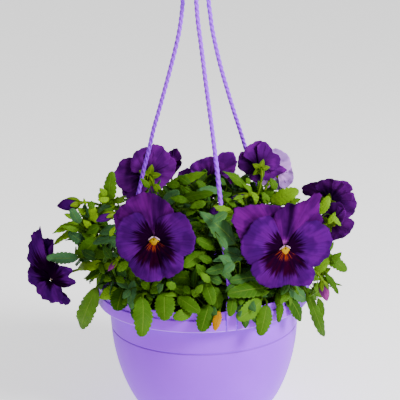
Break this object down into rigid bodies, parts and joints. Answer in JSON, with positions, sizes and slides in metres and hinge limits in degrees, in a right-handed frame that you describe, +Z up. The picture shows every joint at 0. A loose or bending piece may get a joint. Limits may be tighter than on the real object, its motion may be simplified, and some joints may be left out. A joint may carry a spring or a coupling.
{
  "type": "pansy hanging basket",
  "caption": "Large-flowered violet pansy in bloom in a round lilac plastic hanging pot, with a moulded hanger of twisted legs that clip to the rim and meet in a hook.",
  "frame": {"origin": "centre of the flat underside of the pot", "axes": "+Z up along the pot's axis to the hook, -Y towards the side from which the two open front blooms are seen"},
  "size_m": [0.3323, 0.2531, 0.4708],
  "materials": {
    "lilac_plastic": "satin",
    "soil": "moist crumbly potting mix",
    "leaf": "satin living leaf",
    "stalk": "satin living stalk",
    "violet_petal": "velvety petal",
    "pale_petal": "thin pale petal",
    "faded_petal": "fading petal"
  },
  "bodies": {
    "root": {"bud_centre_dark": "violet_petal", "bud_centre_slim": "violet_petal", "bud_left_opening": "violet_petal", "bud_left_slim": "violet_petal", "bud_left_small": "faded_petal", "bud_right_drooping": "faded_petal", "hanger": "lilac_plastic", "leafy_stem_01": "leaf", "leafy_stem_02": "leaf", "leafy_stem_03": "leaf", "leafy_stem_04": "leaf", "leafy_stem_05": "leaf", "leafy_stem_06": "leaf", "leafy_stem_07": "leaf", "leafy_stem_08": "leaf", "leafy_stem_09": "leaf", "leafy_stem_10": "leaf", "leafy_stem_11": "leaf", "leafy_stem_12": "leaf", "leafy_stem_13": "leaf", "leafy_stem_14": "leaf", "leafy_stem_15": "leaf", "leafy_stem_16": "leaf", "leafy_stem_17": "leaf", "leafy_stem_18": "leaf", "petals_back_centre": "violet_petal", "petals_back_left": "violet_petal", "petals_back_left_crumpled": "violet_petal", "petals_back_right": "violet_petal", "petals_back_right_pale": "pale_petal", "petals_behind": "violet_petal", "petals_front_left": "violet_petal", "petals_front_right": "violet_petal", "petals_left_side": "violet_petal", "petals_right_lower": "violet_petal", "petals_right_upper": "violet_petal", "pot": "lilac_plastic", "soil": "soil", "stalk_back_centre": "stalk", "stalk_back_left": "stalk", "stalk_back_left_crumpled": "stalk", "stalk_back_right": "stalk", "stalk_back_right_pale": "stalk", "stalk_behind": "stalk", "stalk_bud_centre_dark": "stalk", "stalk_bud_centre_slim": "stalk", "stalk_bud_left_opening": "stalk", "stalk_bud_left_slim": "stalk", "stalk_bud_left_small": "stalk", "stalk_bud_right_drooping": "stalk", "stalk_front_left": "stalk", "stalk_front_right": "stalk", "stalk_left_side": "stalk", "stalk_right_lower": "stalk", "stalk_right_upper": "stalk"}
  },
  "joints": []
}
